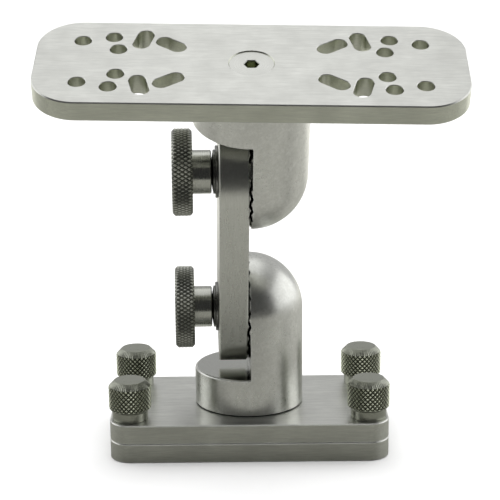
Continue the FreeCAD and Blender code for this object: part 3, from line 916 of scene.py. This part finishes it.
def knurled_steel(name, pit_shade_grey, grey, warm):
    """Knurled steel: pale crests, partly wear and partly a painted highlight, over rougher pits painted dark as
    painted shade in the grooves.
    """
    s = Shader(name)
    grain = s.noise(3000, 2, 0.6)
    crest = s.add("ShaderNodeAttribute", attribute_name="crest").outputs["Fac"]
    # Dark pits are painted shade in the knurl's grooves; the pale crests are partly wear and partly a painted
    # highlight.
    shaded_pits = s.mix(s.span(grain, 0, 1), tone(pit_shade_grey * 0.8, warm * 1.6), tone(pit_shade_grey * 1.2, warm * 1.6))
    bright = s.mix(s.span(grain, 0, 1), tone(grey * 0.9, warm), tone(grey * 1.1, warm))
    s.set(Metallic=1.0, Base_Color=s.mix(s.span(crest, 0, 1, 0.15, 0.7), shaded_pits, bright),
          Roughness=s.math("ADD", s.span(crest, 0.48, 0.24, 0.3, 1.0), s.span(grain, -0.03, 0.03)),
          Normal=s.bump(grain, 0.015 * MM, 0.4))
    return s.material


def plain_steel(name, grey, warm, rough=(0.22, 0.36)):
    """Washers, inserts and studs: fine tumbled grain with darker patches."""
    s = Shader(name)
    grain = s.noise(2500, 3, 0.6)
    patch = s.noise(220, 3, 0.6)
    colour = s.mix(s.span(patch, 0, 1), tone(grey * 0.85, warm), tone(grey * 1.1, warm))
    # Edge mask and edge colour: paler rims, partly wear and partly a painted highlight along the edges.
    edge_wear_and_highlight = s.edges(0.2 * MM)
    rubbed_and_highlit = tone(min(grey * 1.4, 0.95), warm)
    s.set(Metallic=1.0, Base_Color=s.mix(s.math("MULTIPLY", edge_wear_and_highlight, 0.5), colour, rubbed_and_highlit),
          Roughness=s.span(grain, *rough), Normal=s.bump(grain, 0.012 * MM, 0.4))
    return s.material


def bronze():
    s = Shader("oil_filled_bronze")
    pores = s.noise(3200, 2, 0.7)
    patch = s.noise(300, 3, 0.6)
    colour = s.mix(s.span(patch, 0, 1), (0.42, 0.26, 0.12, 1), (0.60, 0.41, 0.21, 1))
    s.set(Metallic=1.0, Base_Color=s.mix(s.span(pores, 0.6, 0, 0.3, 0.42), colour, (0.12, 0.08, 0.05, 1)),
          Roughness=s.span(pores, 0.30, 0.46), Normal=s.bump(pores, 0.02 * MM, 0.5))
    return s.material


def black_acetal():
    s = Shader("black_acetal")
    grain = s.noise(2600, 3, 0.6)
    wipe = s.noise(140, 3, 0.5)
    s.set(Base_Color=s.mix(s.span(wipe, 0, 1), (0.010, 0.010, 0.010, 1), (0.022, 0.022, 0.021, 1)),
          Roughness=s.span(grain, 0.38, 0.55), Normal=s.bump(grain, 0.015 * MM, 0.4))
    return s.material


# ======== build ========

def paint_node(name, material):
    """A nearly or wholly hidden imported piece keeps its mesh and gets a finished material."""
    node = frame["nodes"][name]
    node.data.materials.clear()
    node.data.materials.append(material)


# The second argument is the edges' metallic level: at 0.0 the base's paler edges go diffuse and catch the fill
# light as a painted highlight line.
plate_metal = brushed_aluminium("brushed_plate", 1.0)
base_metal = brushed_aluminium("brushed_base", 0.0)
edge_metal = brushed_aluminium("brushed_plate_edges", 1.0, grey=0.71, warm=0.14)
base_edge_metal = brushed_aluminium("brushed_base_edges", 0.0, grey=0.66, warm=0.10)
post_metal = blasted_aluminium()
flat_metal = milled_aluminium("milled_flat", 0.52, (0.09, 0.14), 0.1)
arm_metal = milled_aluminium("milled_arm", 0.70, (0.24, 0.34), 0.4)
arm_end_metal = milled_aluminium("milled_arm_end", 0.72, (0.30, 0.38), 0.3)
knob_knurl = knurled_steel("knob_knurl", 0.15, 0.62, 0.09)
knob_turned = turned_steel("knob_turned", 0.55, 0.09, (0.20, 0.30))
thumb_knurl = knurled_steel("thumb_knurl", 0.08, 0.90, 0.20)
thumb_turned = turned_steel("thumb_turned", 0.42, 0.15, (0.26, 0.38))
washer_metal = plain_steel("washer_steel", 0.28, 0.04)
spring_metal = plain_steel("spring_steel", 0.20, 0.05)
screw_metal = turned_steel("screw_steel", 0.66, 0.05, (0.24, 0.34))
# Socket steel is darker and browner than the head: partly painted shade in the recess, partly an oxidised tone.
socket_shaded_steel = plain_steel("socket_steel_painted_shade", 0.50, 0.30)
fastener_metal = plain_steel("fastener_steel", 0.48, 0.03)
bush_metal = bronze()
acetal = black_acetal()

deck_plate(base_metal, base_edge_metal)
base_plate(base_metal, base_edge_metal)
top_plate(plate_metal, edge_metal)
link_arm(arm_metal, arm_end_metal)
for prefix, matrix in (("lower_", LOWER), ("upper_", UPPER)):
    knuckle(prefix, matrix, post_metal, flat_metal)
    tilt_knob(prefix, matrix, knob_knurl, knob_turned)
    flat_washer(prefix, matrix, washer_metal)
    cone_washer(prefix, matrix, spring_metal)
    pan_washer(prefix, prefix + "head", matrix, acetal)
    pan_screw(prefix, matrix, screw_metal, socket_shaded_steel)
    paint_node(prefix + "knob_stud", fastener_metal)
    paint_node(prefix + "thread_insert", fastener_metal)
    paint_node(prefix + "release_spring", spring_metal)
    paint_node(prefix + "arm_bushing", bush_metal)
paint_node("deck_thread_inserts", fastener_metal)
for front_or_back, y in (("front", -THUMB[1]), ("back", THUMB[1])):
    for side, x in (("left", -THUMB[0]), ("right", THUMB[0])):
        thumb_screw(front_or_back + "_" + side, x, y, thumb_knurl, thumb_turned)


# ======== stage, light and camera ========

def table_tone(grey):
    """The slightly warm tone of the table."""
    return (grey * 1.01, grey, grey * 0.93, 1)


def stage_plane(name, near, far, height, colour):
    """A flat sheet between two corners; colour is one colour or a list of (y, colour) stops."""
    corners = [near, (far[0], near[1]), far, (near[0], far[1])]
    sheet = prism(name, [(height - 0.01 * MM, corners), (height, corners)])
    s = Shader(name)
    s.set(Roughness=0.6, Specular_IOR_Level=0.2,
          Base_Color=s.ramp(colour) if isinstance(colour, list) else colour)
    sheet.data.materials.append(s.material)
    return sheet


def backdrop(name, radius, height, glow):
    """A pale round wall behind the floor, which lights nothing and shows only to the camera."""
    bm = bmesh.new()
    bmesh.ops.create_cone(bm, segments=64, radius1=radius, radius2=radius, depth=height, cap_ends=False)
    wall = object_from(name, bm, Matrix.Translation((0, 0, height / 2)))
    s = Shader(name)
    s.set(Base_Color=(0, 0, 0, 1), Emission_Color=(1, 1, 1, 1), Emission_Strength=glow)
    wall.data.materials.append(s.material)
    for flag in ("visible_glossy", "visible_diffuse", "visible_transmission", "visible_shadow"):
        setattr(wall, flag, False)


def softbox(name, place, target, width, height, glow, fade=0.0):
    """A lamp panel facing a target; fade is how much dimmer it is at its left and right edges."""
    light = bpy.data.lights.new(name, "AREA")
    light.shape = "RECTANGLE"
    light.size = width
    light.size_y = height
    light.energy = glow * math.pi * width * height
    if fade:
        fade_sideways(light, width, fade)
    lamp = bpy.data.objects.new(name, light)
    bpy.context.scene.collection.objects.link(lamp)
    facing = (Vector(target) - Vector(place)).to_track_quat("-Z", "Y")
    lamp.matrix_world = Matrix.Translation(place) @ facing.to_matrix().to_4x4()
    return lamp


def fade_sideways(light, width, fade):
    """Dims an overhead lamp panel from its middle to its left and right edges."""
    light.use_nodes = True
    tree = light.node_tree
    parts = tree.nodes.new("ShaderNodeSeparateXYZ")
    tree.links.new(tree.nodes.new("ShaderNodeNewGeometry").outputs["Position"], parts.inputs[0])
    distance = tree.nodes.new("ShaderNodeMath")
    distance.operation = "ABSOLUTE"
    tree.links.new(parts.outputs["X"], distance.inputs[0])
    level = tree.nodes.new("ShaderNodeMapRange")
    for name, value in (("From Min", 0), ("From Max", width / 2), ("To Min", 1), ("To Max", 1 - fade)):
        level.inputs[name].default_value = value
    tree.links.new(distance.outputs[0], level.inputs["Value"])
    tree.links.new(level.outputs["Result"], tree.nodes["Emission"].inputs["Strength"])


def room(front, back):
    """What is beyond the lamps: a dim room in front of the object and a paler one behind it."""
    world = bpy.data.worlds.new("room")
    bpy.context.scene.world = world
    world.use_nodes = True
    tree = world.node_tree
    direction = tree.nodes.new("ShaderNodeTexCoord")
    parts = tree.nodes.new("ShaderNodeSeparateXYZ")
    level = tree.nodes.new("ShaderNodeMapRange")
    level.interpolation_type = "SMOOTHSTEP"
    for name, value in (("From Min", -0.6), ("From Max", 0.6), ("To Min", front), ("To Max", back)):
        level.inputs[name].default_value = value
    tree.links.new(direction.outputs["Generated"], parts.inputs[0])
    tree.links.new(parts.outputs["Y"], level.inputs["Value"])
    tree.links.new(level.outputs["Result"], tree.nodes["Background"].inputs["Color"])


def overhead_fill(strength):
    """Even light on the floor that leaves no highlight on the metal."""
    light = bpy.data.lights.new("overhead_fill", "SUN")
    light.energy = strength
    light.angle = math.radians(100)
    lamp = bpy.data.objects.new("overhead_fill", light)
    lamp.visible_glossy = False
    bpy.context.scene.collection.objects.link(lamp)


# Table seen only in reflections: the darker band just in front of the base is a painted shadow of the object, and
# the paler far end is painted light.
TABLE_STOPS_PAINTED_SHADOW_AND_LIGHT = [(-0.28, table_tone(0.335)), (-0.075, table_tone(0.335)), (-0.045, table_tone(0.22)),
               (-0.03, table_tone(0.22)), (0.04, table_tone(0.335)), (0.25, table_tone(0.335)),
               (0.60, table_tone(0.85))]
seen_floor = stage_plane("floor", (-6.0, -3.0), (6.0, 6.0), -0.02 * MM, (0.92, 0.92, 0.92, 1))
seen_floor.visible_glossy = False
backdrop("backdrop", radius=5.9, height=4.0, glow=1.2)
table_top = stage_plane("table_in_reflections", (-0.9, -0.28), (0.9, 2.5), 0.0, TABLE_STOPS_PAINTED_SHADOW_AND_LIGHT)
table_top.visible_camera = False
table_top.visible_diffuse = False
table_top.visible_shadow = False
room(front=0.04, back=0.5)
overhead_fill(3.0)
softbox("top_softbox", (0, 0.15, 1.25), (0, 0.15, 0), 1.0, 1.9, 0.64, fade=0.3)
softbox("right_softbox", (0.9, 0.18, 0.44), (0, 0.18, 0.44), 1.4, 0.8, 0.9)
softbox("left_softbox", (-1.1, 0.30, 0.72), (0, 0.30, 0.72), 1.4, 0.7, 0.9)

camera_data = bpy.data.cameras.new("camera")
camera = bpy.data.objects.new("camera", camera_data)
bpy.context.scene.collection.objects.link(camera)
camera_data.sensor_width = 36
camera_data.lens = 115.5
camera_data.clip_start = 0.01
camera_data.clip_end = 50
CAMERA_PLACE = (-2.07 * MM, -726.49 * MM, 272.07 * MM)
CAMERA_DOWN = math.radians(13.962)
CAMERA_TO_RIGHT = math.radians(0.245)
CAMERA_ROLL = math.radians(-0.494)
forward = Vector((math.sin(CAMERA_TO_RIGHT) * math.cos(CAMERA_DOWN),
                  math.cos(CAMERA_TO_RIGHT) * math.cos(CAMERA_DOWN), -math.sin(CAMERA_DOWN)))
level_right = forward.cross(Vector((0, 0, 1))).normalized()
level_up = level_right.cross(forward)
right = level_right * math.cos(CAMERA_ROLL) + level_up * math.sin(CAMERA_ROLL)
up = level_up * math.cos(CAMERA_ROLL) - level_right * math.sin(CAMERA_ROLL)
turn = Matrix((right, up, -forward)).transposed().to_4x4()
camera.matrix_world = Matrix.Translation(CAMERA_PLACE) @ turn
bpy.context.scene.camera = camera
bpy.context.scene.view_settings.view_transform = "Standard"
